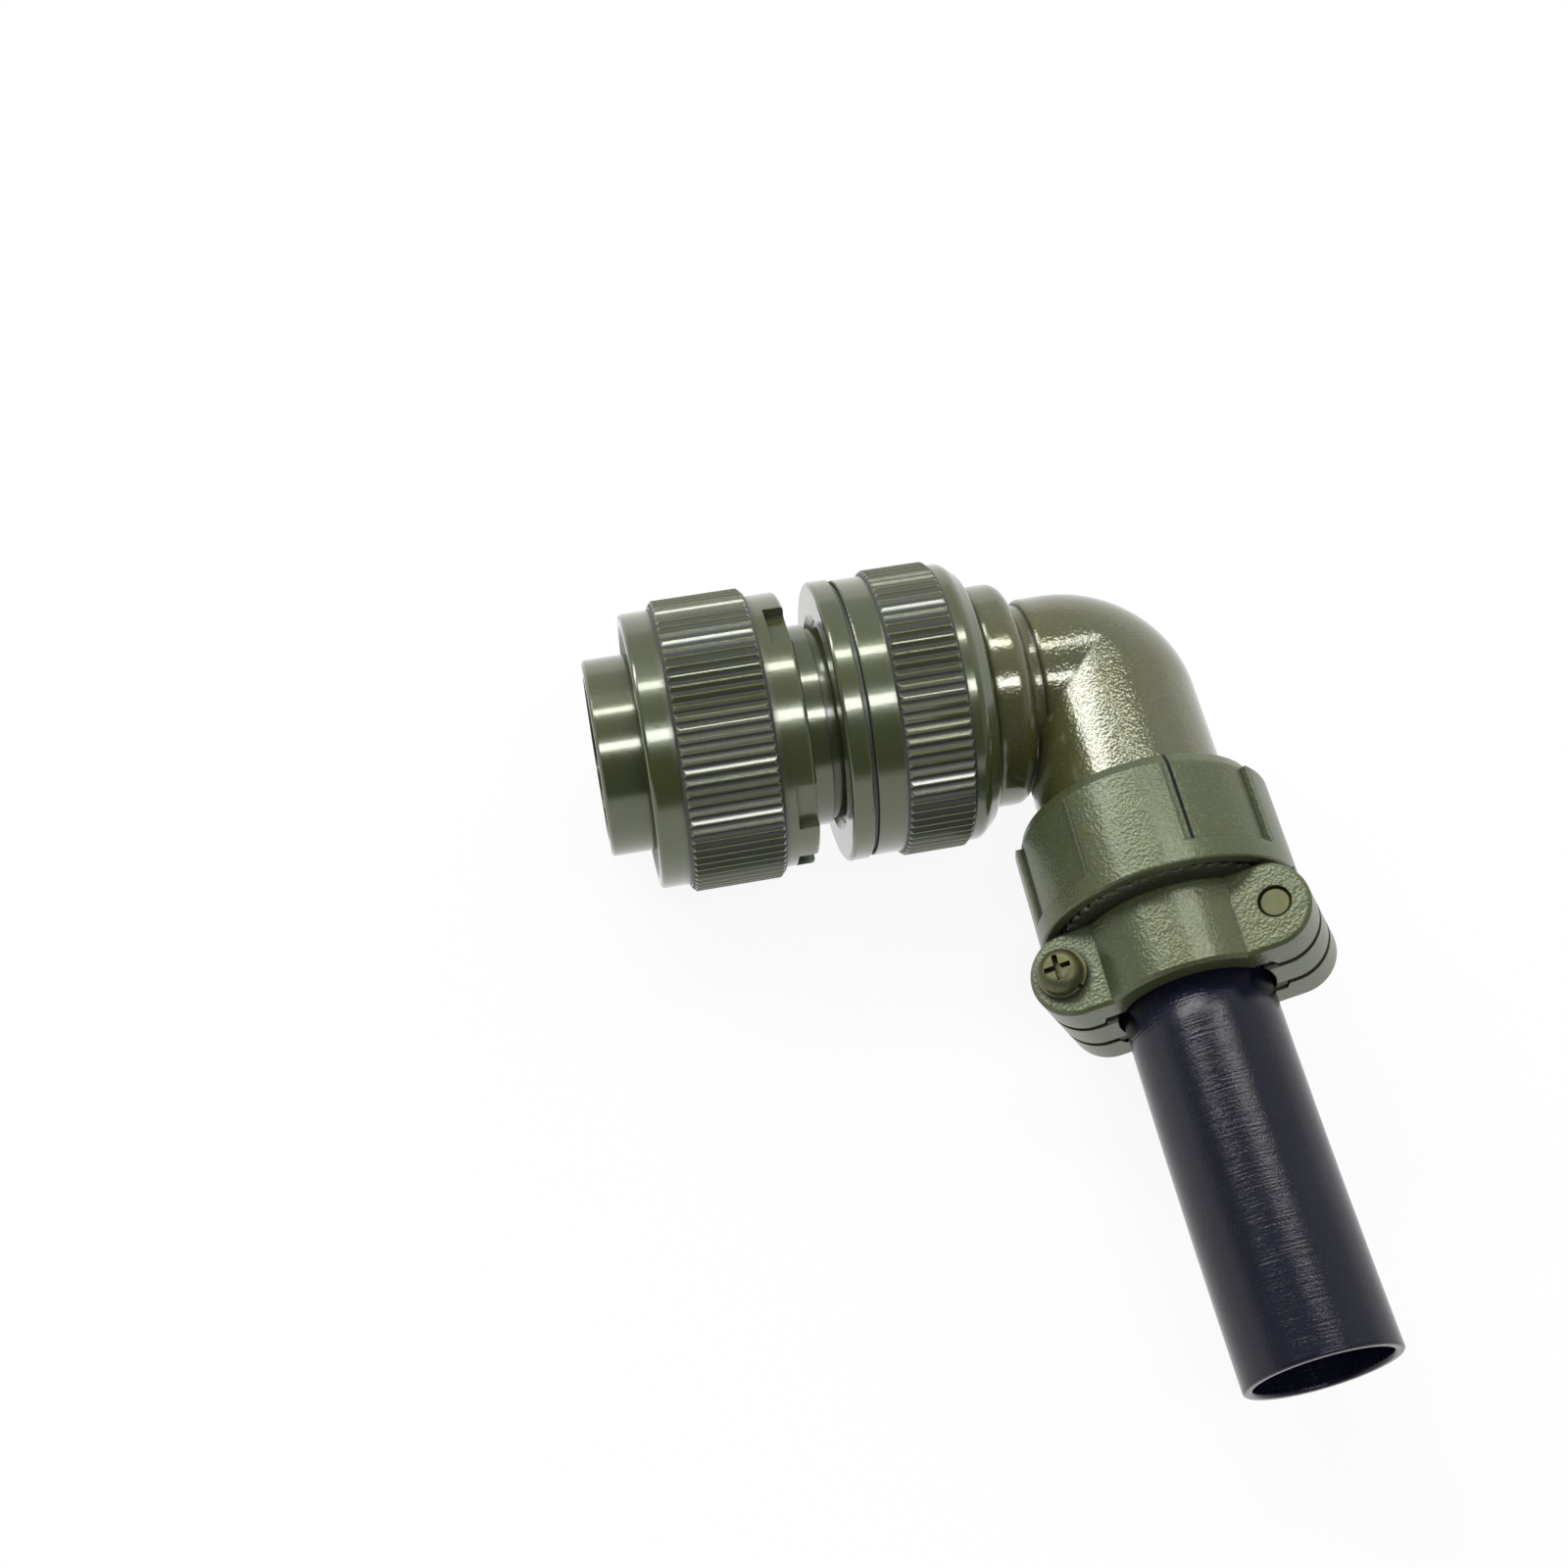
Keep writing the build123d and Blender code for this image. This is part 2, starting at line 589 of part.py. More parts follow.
def ring_blank():
    """Turned ring of the clamp with a raised land on each quarter."""
    land_start = CLAMP_START + RING_SHOULDER
    edge_start = RING_END - RING_EDGE_WIDTH
    blank = turned(
        (CLAMP_START, 0),
        (CLAMP_START, RING_TOP_R, RING_EDGE),
        (land_start, RING_POCKET_R, RING_SHOULDER_FILLET),
        (edge_start, RING_POCKET_R),
        (edge_start, RING_R),
        (RING_END, RING_R, RING_EDGE),
        (RING_END, 0),
    )
    reach = RING_R * math.tan(math.radians(RING_LAND_ANGLE / 2))
    for land in range(RING_LANDS):
        sector = Plane.YZ.offset(land_start) * make_face(
            Polyline((0, 0), (RING_R + 1, -reach), (RING_R + 1, reach), close=True)
        )
        wedge = Rot(360 * land / RING_LANDS, 0, 0) * extrude(sector, edge_start - land_start)
        blank += wedge & disc(land_start, edge_start, RING_R)
    return blank


def ear_outline(length):
    """Full-round outline of a saddle in the plane of its ears, centred on the screw station."""
    return Pos(SCREW_STATION, 0) * Rot(0, 0, 90) * SlotOverall(length, SADDLE_WIDTH)


def clamp_body():
    """Ring that screws on the elbow, with two tongues that run between the saddles."""
    blank = ring_blank()
    thread_r = CLAMP_THREAD_R + THREAD_GAP
    root = thread_root(CLAMP_THREAD_PITCH, thread_r)
    blank -= turned(
        (CLAMP_START - 1, 0),
        (CLAMP_START - 1, thread_r),
        *thread_points(CLAMP_THREAD_START, CLAMP_THREAD_TURNS, CLAMP_THREAD_PITCH, thread_r),
        (CROWN_START, root),
        (CROWN_START, RING_MOUTH_R),
        (RING_END + 1, RING_MOUTH_R),
        (RING_END + 1, 0),
    )
    length = SCREW_SPACING + 2 * EAR_REACH
    tongue_start = ELBOW_END + 2 * FACE_GAP
    plate = extrude(ear_outline(length), TONGUE_TOP, both=True)
    plate += block((tongue_start, SCREW_STATION), (-RING_R, RING_R), (-TONGUE_TOP, TONGUE_TOP))
    lip_r = TONGUE_INNER + LIP_THICKNESS
    lip = block((tongue_start, CLAMP_END), (-lip_r, lip_r), (-TONGUE_TOP - LIP_RISE, TONGUE_TOP + LIP_RISE))
    plate += lip & disc(tongue_start, CLAMP_END, lip_r)
    plate -= disc(tongue_start - 1, CLAMP_END + 1, TONGUE_INNER)
    blank += plate
    hole = Cylinder(SCREW_HOLE_R, 2 * TONGUE_THICKNESS)
    for side in (-1, 1):
        blank -= Pos(SCREW_STATION, side * SCREW_SPACING / 2, 0) * hole
    return blank


def saddle():
    """Upper saddle: a full-round bar with an arch over the sleeve, one plain and one tapped hole."""
    length = SCREW_SPACING + 2 * EAR_REACH
    plan = Pos(0, 0, EAR_BOTTOM) * ear_outline(length)
    body = extrude(plan, EAR_THICKNESS)
    body = chamfer(body.faces().sort_by(Axis.Z)[-1].edges(), EAR_EDGE)
    start = CLAMP_END - SADDLE_WIDTH
    arch = disc(start, CLAMP_END, ARCH_R, EAR_EDGE)
    body += arch & block((start, CLAMP_END), (-ARCH_R, ARCH_R), (EAR_BOTTOM, ARCH_R + 1))
    body -= disc(start - 1, CLAMP_END + 1, SADDLE_BORE_R)
    rebate_r = TONGUE_INNER + LIP_THICKNESS + LIP_ROOM
    rebate_top = TONGUE_TOP + LIP_RISE + LIP_ROOM + EAR_BOTTOM - TONGUE_TOP
    body -= disc(start - 1, CLAMP_END + 1, rebate_r) & block(
        (start - 1, CLAMP_END + 1), (-rebate_r, rebate_r), (0, rebate_top)
    )
    hole = SCREW_SPACING / 2
    body -= Pos(SCREW_STATION, -hole, EAR_TOP) * Cylinder(SCREW_HOLE_R, 4 * EAR_THICKNESS)
    body -= Pos(SCREW_STATION, hole, EAR_TOP) * Cylinder(SCREW_R + ASSEMBLED_GAP, 4 * EAR_THICKNESS)
    return body


def clamp_screw():
    """Pan-head screw standing on local Z with its head's underside on the washer's top."""
    under = EAR_TOP + WASHER_THICKNESS
    tip = SCREW_END_RECESS - EAR_TOP
    outline = FilletPolyline(
        (0, tip),
        (SCREW_R - SCREW_TIP, tip),
        (SCREW_R, tip + SCREW_TIP),
        (SCREW_R, under),
        (SCREW_HEAD_R, under),
        (SCREW_HEAD_R, under + SCREW_HEAD_HEIGHT),
        (0, under + SCREW_HEAD_HEIGHT),
        radius=[0, 0, 0, 0, 0, SCREW_HEAD_FILLET, 0],
        close=True,
    )
    body = revolve(Plane.XZ * make_face(outline), Axis.Z, 360)
    top = under + SCREW_HEAD_HEIGHT
    depth = (top - RECESS_DEPTH, top + 1)
    long, short = (-RECESS_SPAN / 2, RECESS_SPAN / 2), (-RECESS_WIDTH / 2, RECESS_WIDTH / 2)
    return body - block(long, short, depth) - block(short, long, depth)


def lock_washer():
    """Split spring washer about local Z on the ear's face."""
    body = Cylinder(WASHER_R, WASHER_THICKNESS) - Cylinder(SCREW_HOLE_R, 2 * WASHER_THICKNESS)
    body -= Rot(0, 0, 35) * block(
        (0, WASHER_R + 1), (-WASHER_SPLIT / 2, WASHER_SPLIT / 2), (-WASHER_THICKNESS, WASHER_THICKNESS)
    )
    return Pos(0, 0, EAR_TOP + WASHER_THICKNESS / 2) * body


def at_screw(shape, other_side):
    """Place a fastener at the upper saddle's plain hole, or turned over at the lower saddle's."""
    turn = Rot(180, 0, 0) if other_side else Rot(0, 0, 0)
    return arm_b(turn * Pos(SCREW_STATION, -SCREW_SPACING / 2, 0) * shape, CLAMP_TURN)


def rubber_sleeve():
    """Open rubber sleeve through the clamp; past the clamp it sways slightly towards +X."""
    straight = ring(SLEEVE_START, CLAMP_END, SLEEVE_BORE_R, SLEEVE_R)
    sway_r = SLEEVE_VISIBLE ** 2 / (2 * SLEEVE_SWAY)
    section = Plane.YZ.offset(CLAMP_END) * (Circle(SLEEVE_R) - Circle(SLEEVE_BORE_R))
    pivot = Axis((CLAMP_END, sway_r, 0), (0, 0, 1))
    body = straight + revolve(section, pivot, math.degrees(SLEEVE_VISIBLE / sway_r))
    rims = body.faces().sort_by(Axis.X)[-1].edges()
    return fillet(rims, SLEEVE_EDGE)


def write(name, shape):
    """Write one sub-part as parts/name.step."""
    export_step(shape, f"parts/{name}.step")


os.makedirs("parts", exist_ok=True)

write("plug_shell", plug_shell())
write("front_insulator", front_insulator())
write("rear_insulator", rear_insulator())
write("insulator_ring", insulator_ring())
for number, (place_y, place_z) in enumerate(contact_places(), start=1):
    write(f"contact_{number:02d}", Pos(0, place_y, place_z) * contact())
write("coupling_nut", coupling_nut())
write("nut_retaining_ring", nut_retaining_ring())
write("assembly_nut", assembly_nut())
write("joint_gasket", joint_gasket())
write("elbow_snap_ring", elbow_snap_ring())
write("elbow", elbow())
write("clamp_body", arm_b(clamp_body(), CLAMP_TURN))
write("upper_saddle", arm_b(saddle(), CLAMP_TURN))
write("lower_saddle", arm_b(saddle(), CLAMP_TURN + 180))
for name, other_side in (("upper", False), ("lower", True)):
    write(f"{name}_clamp_screw", at_screw(clamp_screw(), other_side))
    write(f"{name}_lock_washer", at_screw(lock_washer(), other_side))
write("rubber_sleeve", arm_b(rubber_sleeve()))
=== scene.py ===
import math

import bpy
from mathutils import Matrix, Vector


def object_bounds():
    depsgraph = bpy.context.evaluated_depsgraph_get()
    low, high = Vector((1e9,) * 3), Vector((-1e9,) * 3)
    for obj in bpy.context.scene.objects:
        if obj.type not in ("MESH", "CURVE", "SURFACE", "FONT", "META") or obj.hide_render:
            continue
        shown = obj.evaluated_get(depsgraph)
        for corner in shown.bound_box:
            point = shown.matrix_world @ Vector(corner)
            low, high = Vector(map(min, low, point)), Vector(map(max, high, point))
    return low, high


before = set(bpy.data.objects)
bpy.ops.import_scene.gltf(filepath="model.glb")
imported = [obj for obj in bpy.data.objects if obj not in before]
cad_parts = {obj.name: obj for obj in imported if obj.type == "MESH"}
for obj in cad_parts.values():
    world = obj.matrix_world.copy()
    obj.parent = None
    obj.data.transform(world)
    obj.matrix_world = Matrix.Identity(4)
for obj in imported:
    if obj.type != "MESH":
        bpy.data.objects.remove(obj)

bl_info = {
    "name": "Right-angle circular plug connector",
    "version": (1, 0, 0),
    "blender": (4, 5, 0),
    "location": "3D View > Sidebar > Plug connector",
    "description": "Finishes the plug, nuts, elbow, clamp and sleeve, in a plain studio",
    "category": "Object",
}

CAD_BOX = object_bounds()
MM = 0.001
FLOOR_HEIGHT = CAD_BOX[0][2]

TURNED_PARTS = ("plug_shell", "coupling_nut", "assembly_nut")
CLAMP_CASTINGS = ("clamp_body", "upper_saddle", "lower_saddle")
SCREWS = ("upper_clamp_screw", "lower_clamp_screw")
LOCK_WASHERS = ("upper_lock_washer", "lower_lock_washer")
RETAINING_RINGS = ("insulator_ring", "nut_retaining_ring", "elbow_snap_ring")
INSULATORS = ("front_insulator", "rear_insulator")
CONTACTS = tuple(sorted(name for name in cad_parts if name.startswith("contact_")))

# The cable arm runs along -Y at this X, and the clamp is turned about it
ARM_AXIS_X = 59.65 * MM
CLAMP_TURN = math.radians(24.0)

# Stations along the cable arm, from the plug's axis
RING_START = 19.0 * MM
RING_SLOT_END = 30.2 * MM
CROWN_START = 30.6 * MM
CROWN_FULL = 31.0 * MM
JOINT_START = 33.0 * MM
JOINT_FULL = 33.4 * MM
CLAMP_END = 42.8 * MM
SHOULDER_LENGTH = 4.5 * MM
SHOULDER_DEPTH = 1.1 * MM

# Heights above the clamp's middle plane
TONGUE_TOP = 2.3 * MM
EAR_BOTTOM = 3.2 * MM

# Painted shade at the edges of the clamp ring's four lands, in degrees: where round the cable arm one of
# them runs, how far from there it is full, and how far it has faded
SLOT_SHADE = (87.2, 0.60, 0.95)
FINE_SHADE = (134.9, 0.12, 0.40)

# Start, end and crest radius of the knurls on the coupling nut and the assembly nut
KNURLS = ((8.5 * MM, 19.45 * MM, 17.065 * MM), (33.3 * MM, 41.3 * MM, 16.9 * MM))
KNURL_FADE = 0.05 * MM

# Depths below the crest at which a valley's painted shade starts, at which it is whole, and at which the
# nut's wall ends
VALLEY_EDGE = 0.16 * MM
VALLEY_FULL_SHADE = 0.34 * MM
KNURL_WALL = 0.65 * MM

# Draws a pattern out round the plug's axis, so that it shows as fine rings left by the tool
LATHE_STRETCH = (1.0, 0.06, 0.06)
NO_STRETCH = (1.0, 1.0, 1.0)

# The cast skin's depth, the share that the elbow's front shows, and where along the plug it grows to all
SKIN_DEPTH = 0.066 * MM
ELBOW_SKIN = 0.25
SKIN_GROWS = 48.0 * MM
SKIN_WHOLE = 57.0 * MM

# Samples for each rounded edge and each hollow
SOFT_SAMPLES = 4

# The floor's side in metres, and how much of it the camera sees as plain white
FLOOR_SIZE = 4.0
FLOOR_WHITE = 0.92

# Name, centre, length, width and colour of the lamps, in metres
STRIP_LAMPS = (
    ("back_strip", (0.19, 0.47, 1.20), 0.50, 0.15, (1.0, 0.99, 0.95)),
    ("front_strip", (0.15, -0.45, 1.20), 0.66, 0.20, (0.96, 0.97, 1.0)),
)
SIDE_PANEL = ("side_panel", (-0.50, 0.76, 1.00), 0.92, 0.28, (1.0, 1.0, 1.0))

# Where the photograph was taken from
CAMERA_PLACE = (-3.836 * MM, -125.537 * MM, 203.950 * MM)
CAMERA_RIGHT = (0.98176, -0.18993, 0.00829)
CAMERA_UP = (0.15931, 0.84573, 0.50927)
CAMERA_FORWARD = (0.10374, 0.49866, -0.86057)


class Socket:
    """A shader value that can be used in a Python expression, which adds the Math nodes it needs."""

    def __init__(self, sheet, output):
        self.sheet = sheet
        self.output = output

    def maths(self, operation, first, second, clamp=False):
        settings = {"operation": operation, "use_clamp": clamp}
        return self.sheet.add("ShaderNodeMath", settings, {0: first, 1: second})

    def __add__(self, other):
        return self.maths("ADD", self, other)

    def __radd__(self, other):
        return self.maths("ADD", other, self)

    def __sub__(self, other):
        return self.maths("SUBTRACT", self, other)

    def __rsub__(self, other):
        return self.maths("SUBTRACT", other, self)

    def __mul__(self, other):
        return self.maths("MULTIPLY", self, other)

    def __rmul__(self, other):
        return self.maths("MULTIPLY", other, self)

    def __abs__(self):
        return self.maths("ABSOLUTE", self, 0.0)

    def __mod__(self, other):
        return self.maths("FLOORED_MODULO", self, other)

    def between(self, low, high):
        """0 below low, 1 above high, and a straight rise from one to the other."""
        return self.maths("MULTIPLY", self - low, 1 / (high - low), clamp=True)

    def held(self):
        """The value kept between 0 and 1."""
        return self.maths("ADD", self, 0.0, clamp=True)


class Sheet:
    """The node sheet of one material or of the world, to which nodes are added."""

    def __init__(self, owner):
        owner.use_nodes = True
        self.tree = owner.node_tree
        self.tree.nodes.clear()

    def add(self, kind, settings=None, values=None, output=0):
        """Adds a node. Its settings come first, then the values or links of its sockets."""
        node = self.tree.nodes.new(kind)
        for name, setting in (settings or {}).items():
            setattr(node, name, setting)
        for name, value in (values or {}).items():
            if isinstance(value, Socket):
                self.tree.links.new(value.output, node.inputs[name])
            else:
                node.inputs[name].default_value = value
        return Socket(self, node.outputs[output]) if node.outputs else node

    def place(self):
        """Where a point of the piece lies, in metres."""
        return self.add("ShaderNodeTexCoord", output="Object")

    def vector(self, operation, first, second, output=0):
        return self.add("ShaderNodeVectorMath", {"operation": operation}, {0: first, 1: second}, output)

    def station(self, axis):
        """How far a point lies along one axis, in metres."""
        return self.add("ShaderNodeSeparateXYZ", None, {0: self.place()}, axis)

    def stretched(self, scale):
        """The place with each axis multiplied by its own scale, so that a grain can run along a piece."""
        return self.vector("MULTIPLY", self.place(), scale)

    def noise(self, grain, detail, roughness=0.55, distortion=0.0, stretch=NO_STRETCH):
        """Soft cloudy noise from 0 to 1 whose spots are about as large as grain, in metres."""
        values = {
            "Vector": self.stretched(stretch),
            "Scale": 1.0 / grain,
            "Detail": detail,
            "Roughness": roughness,
            "Distortion": distortion,
        }
        return self.add("ShaderNodeTexNoise", None, values)

    def pits(self, spacing):
        """Distance to the nearest of many scattered points, for grains and pits."""
        values = {"Vector": self.place(), "Scale": 1.0 / spacing, "Smoothness": 0.6}
        return self.add("ShaderNodeTexVoronoi", {"feature": "SMOOTH_F1"}, values, "Distance")

    def knurl_root_shade(self):
        """1 in the valleys between the knurl's teeth, which get painted shade."""
        across = self.vector("MULTIPLY", self.place(), (0.0, 1.0, 1.0))
        radius = self.vector("LENGTH", across, (0.0, 0.0, 0.0), "Value")
        along = self.station("X")
        roots = 0.0
        for start, end, crest in KNURLS:
            inside = along.between(start, start + KNURL_FADE)
            inside = inside * (1.0 - along.between(end - KNURL_FADE, end))
            wall = radius.between(crest - KNURL_WALL - KNURL_FADE, crest - KNURL_WALL + KNURL_FADE)
            deep = 1.0 - radius.between(crest - VALLEY_FULL_SHADE, crest - VALLEY_EDGE)
            roots = roots + inside * wall * deep
        return roots

    def arm_station(self):
        """How far a point lies along the cable arm, from the plug's axis."""
        return self.station("Y") * -1.0

    def arm_angle(self):
        """The angle round the cable arm in radians, from +X towards +Z."""
        across = self.station("X") - ARM_AXIS_X
        return across.maths("ARCTAN2", self.station("Z"), across)

    def line_on_lands(self, angle, middle, full, faded):
        """1 on a line along each of the four lands. Its place and widths are in degrees."""
        quarter = math.pi / 2
        away = abs((angle - math.radians(middle) + quarter / 2) % quarter - quarter / 2)
        return 1.0 - away.between(math.radians(full), math.radians(faded))

    def land_edge_shade(self):
        """1 on the near-black painted shade at one edge of each land, where the step lies in shade, and
        on the fainter painted shade at its other edge.
        """
        along = self.arm_station()
        fade = 0.2 * MM
        zone = along.between(RING_START, RING_START + fade)
        zone = zone * (1.0 - along.between(RING_SLOT_END - fade, RING_SLOT_END))
        angle = self.arm_angle()
        slot = self.line_on_lands(angle, *SLOT_SHADE)
        fine = self.line_on_lands(angle, *FINE_SHADE)
        return slot * zone, fine * zone

    def saddle_joint_shade(self):
        """1 along the joints between the saddles and the tongues of the ring, where the gaps get painted
        shade.
        """
        along = self.arm_station()
        across = self.station("X") - ARM_AXIS_X
        level = self.station("Z") * math.cos(CLAMP_TURN) - across * math.sin(CLAMP_TURN)
        height = abs(level)
        near, far = 0.03 * MM, 0.12 * MM
        gap = height.between(TONGUE_TOP - far, TONGUE_TOP - near)
        gap = gap * (1.0 - height.between(EAR_BOTTOM + near, EAR_BOTTOM + far))
        return gap * along.between(JOINT_START, JOINT_FULL)

    def colour_mix(self, amount, first, second):
        """The first colour where amount is 0, and the second where it is 1."""
        return self.add("ShaderNodeMix", {"data_type": "RGBA"}, {0: amount, 6: first, 7: second}, 2)

    def mottled(self, amount, colour, one, other):
        """The colour between two tints of itself, each given as a factor for red, green and blue."""
        return self.colour_mix(amount, tint(colour, *one), tint(colour, *other))

    def rounded(self, radius):
        """The normal as it would be if the edges were rounded to this radius, in metres."""
        return self.add("ShaderNodeBevel", {"samples": SOFT_SAMPLES}, {"Radius": radius})

    def edges(self, rounded_normal):
        """1 along sharp edges and 0 on open surface, where both normals agree."""
        true_normal = self.add("ShaderNodeNewGeometry", output="Normal")
        lean = self.vector("DOT_PRODUCT", rounded_normal, true_normal, "Value")
        return (1.0 - lean).between(0.02, 0.22)

    def hollows(self, reach, own_only=True):
        """1 in narrow grooves and corners. Joints with the next piece count too if not own_only."""
        settings = {"samples": SOFT_SAMPLES, "only_local": own_only}
        values = {"Color": (1.0, 1.0, 1.0, 1.0), "Distance": reach}
        open_sky = self.add("ShaderNodeAmbientOcclusion", settings, values, "AO")
        return (1.0 - open_sky).held()

    def bump(self, height, depth, strength, normal=None):
        """Turns a height from 0 to 1 into relief that is depth metres deep."""
        values = {"Height": height, "Distance": depth, "Strength": strength}
        if normal is not None:
            values["Normal"] = normal
        return self.add("ShaderNodeBump", None, values)

    def white_seen(self, in_gloss=1.0):
        """1 for the camera's rays, and in_gloss for rays in gloss or glass: they see white."""
        camera = self.add("ShaderNodeLightPath", output="Is Camera Ray")
        gloss = self.add("ShaderNodeLightPath", output="Is Glossy Ray")
        glass = self.add("ShaderNodeLightPath", output="Is Transmission Ray")
        return (camera + (gloss + glass) * in_gloss).held()

    def surface(self, values):
        shader = self.add("ShaderNodeBsdfPrincipled", None, values)
        self.add("ShaderNodeOutputMaterial", None, {"Surface": shader})


def rgba(colour):
    """A colour property as the four numbers a shader socket takes."""
    return (colour[0], colour[1], colour[2], 1.0)


def shade(colour, factor):
    """A colour made darker or lighter."""
    return tuple(min(1.0, channel * factor) for channel in colour[:3]) + (1.0,)


def tint(colour, red, green, blue):
    """A colour with each channel multiplied by its own factor."""
    return (colour[0] * red, colour[1] * green, colour[2] * blue, 1.0)


def new_sheet(name):
    material = bpy.data.materials.new(name)
    return material, Sheet(material)


def give(material, names):
    """Puts a material in every material slot of the named CAD nodes."""
    for name in names:
        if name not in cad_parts:
            raise RuntimeError(f"no CAD node is called {name}")
        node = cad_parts[name]
        if not node.material_slots:
            node.data.materials.append(material)
        for slot in node.material_slots:
            slot.material = material


def plated_turning(look):
    """Glossy olive plating on turned parts: tool rings, soft clouds, painted shade in grooves and knurl
    valleys, rubbed edges.
    """
    material, sheet = new_sheet("olive_plating_on_turned_parts")
    colour = look.plating_colour
    clouds = sheet.noise(7.0 * MM, 4.0)
    peel = sheet.noise(0.55 * MM, 2.0)
    rings = sheet.noise(0.32 * MM, 1.0, stretch=LATHE_STRETCH)
    specks = sheet.noise(0.30 * MM, 1.0).between(0.70, 0.80)
    rounded_normal = sheet.rounded(look.edge_rounding)
    edge = sheet.edges(rounded_normal) * sheet.noise(0.9 * MM, 3.0).between(0.30, 0.62)
    groove_shade = (sheet.hollows(0.8 * MM).between(0.14, 0.46) + sheet.knurl_root_shade()).held()
    base = sheet.mottled(clouds.between(0.35, 0.68), colour, (1.10, 0.99, 0.80), (0.88, 1.0, 1.06))
    base = sheet.colour_mix(edge * look.edge_wear, base, rgba(look.rubbed_and_glint_colour))
    # Painted shade: grooves, corners and knurl valleys are darkened in the colour.
    base = sheet.colour_mix(groove_shade * 0.92, base, shade(colour, 0.08))
    base = sheet.colour_mix(specks * 0.30, base, rgba(look.rubbed_and_glint_colour))
    relief = peel * 0.8 + rings * 0.12 + specks * 0.15
    sheet.surface({
        "Base Color": base,
        "Metallic": (0.35 + edge * 0.25 - groove_shade * 0.35).held(),
        "Roughness": (0.15 + clouds * 0.07 + rings * 0.03 + groove_shade * 0.35 + edge * 0.05).held(),
        "Normal": sheet.bump(relief, 0.016 * MM, 0.6, rounded_normal),
        "Specular IOR Level": 1.0,
        "Coat Weight": (0.65 - groove_shade * 0.65).held(),
        "Coat Roughness": 0.06,
        "Coat IOR": 1.5,
    })
    return material


def plated_casting(look, name, colour, is_clamp, roughness, rounding, gloss, coat):
    """Olive plating over a casting: a fine skin that sparkles in the light, low waves, rubbed edges,
    painted shade in hollows and at joints with the next pieces; on the clamp, painted shade along the
    land edges and saddle gaps; on the elbow, a painted highlight on the crown teeth.
    """
    material, sheet = new_sheet(name)
    clouds = sheet.noise(9.0 * MM, 4.0)
    skin = sheet.noise(0.38 * MM, 2.0, roughness=0.5)
    grains = sheet.pits(0.36 * MM)
    waves = sheet.noise(2.4 * MM, 2.0)
    rounded_normal = sheet.rounded(rounding)
    edge = sheet.edges(rounded_normal) * sheet.noise(0.8 * MM, 3.0).between(0.30, 0.60)
    groove_shade = sheet.hollows(0.7 * MM, own_only=False).between(0.12, 0.38)
    if is_clamp:
        # On the clamp, painted shade: near-black along the land edges, and dark saddle gaps.
        slot, fine = sheet.land_edge_shade()
        shade_lines = slot + fine * 0.6
        groove_shade = (groove_shade + shade_lines + sheet.saddle_joint_shade()).held()
        marks = shade_lines
        painted_mark_colour = shade(colour, 0.02)
        skin_share = 1.0
    else:
        # Painted highlight: the crown teeth inside the ring are lightened towards the rubbed colour, and
        # the painted shade there is weakened.
        crown = sheet.arm_station().between(CROWN_START, CROWN_FULL)
        shade_lines = 0.0
        groove_shade = groove_shade * (1.0 - crown * 0.65)
        marks = crown * 0.55
        painted_mark_colour = rgba(look.rubbed_and_glint_colour)
        smooth = 1.0 - sheet.station("X").between(SKIN_GROWS, SKIN_WHOLE)
        skin_share = 1.0 - (1.0 - ELBOW_SKIN) * smooth
    base = sheet.mottled(clouds.between(0.32, 0.68), colour, (1.08, 1.0, 0.86), (0.92, 1.0, 1.05))
    base = sheet.colour_mix(skin.between(0.55, 0.80) * 0.25, base, rgba(look.rubbed_and_glint_colour))
    base = sheet.colour_mix(edge * look.edge_wear * 0.7, base, rgba(look.rubbed_and_glint_colour))
    # Painted shade: hollows, joints with the next pieces, the land edges and the saddle gaps are darkened
    # in the colour.
    base = sheet.colour_mix(groove_shade * 0.85, base, shade(colour, 0.14))
    # Painted light: on the clamp, near-black shade along the land edges; on the elbow, a highlight on the
    # crown teeth.
    base = sheet.colour_mix(marks, base, painted_mark_colour)
    relief = (skin * 0.8 + grains * 0.6) * skin_share + waves * 0.8 - shade_lines * 0.6
    sheet.surface({
        "Base Color": base,
        "Metallic": (0.32 + edge * 0.25 - groove_shade * 0.32).held(),
        "Roughness": (roughness + clouds * 0.05 + skin * 0.08 + groove_shade * 0.3 + shade_lines * 0.3).held(),
        "Normal": sheet.bump(relief, SKIN_DEPTH, 0.85, rounded_normal),
        "Specular IOR Level": gloss,
        "Coat Weight": (coat - groove_shade * coat).held(),
        "Coat Roughness": 0.10,
        "Coat IOR": 1.5,
    })
    return material


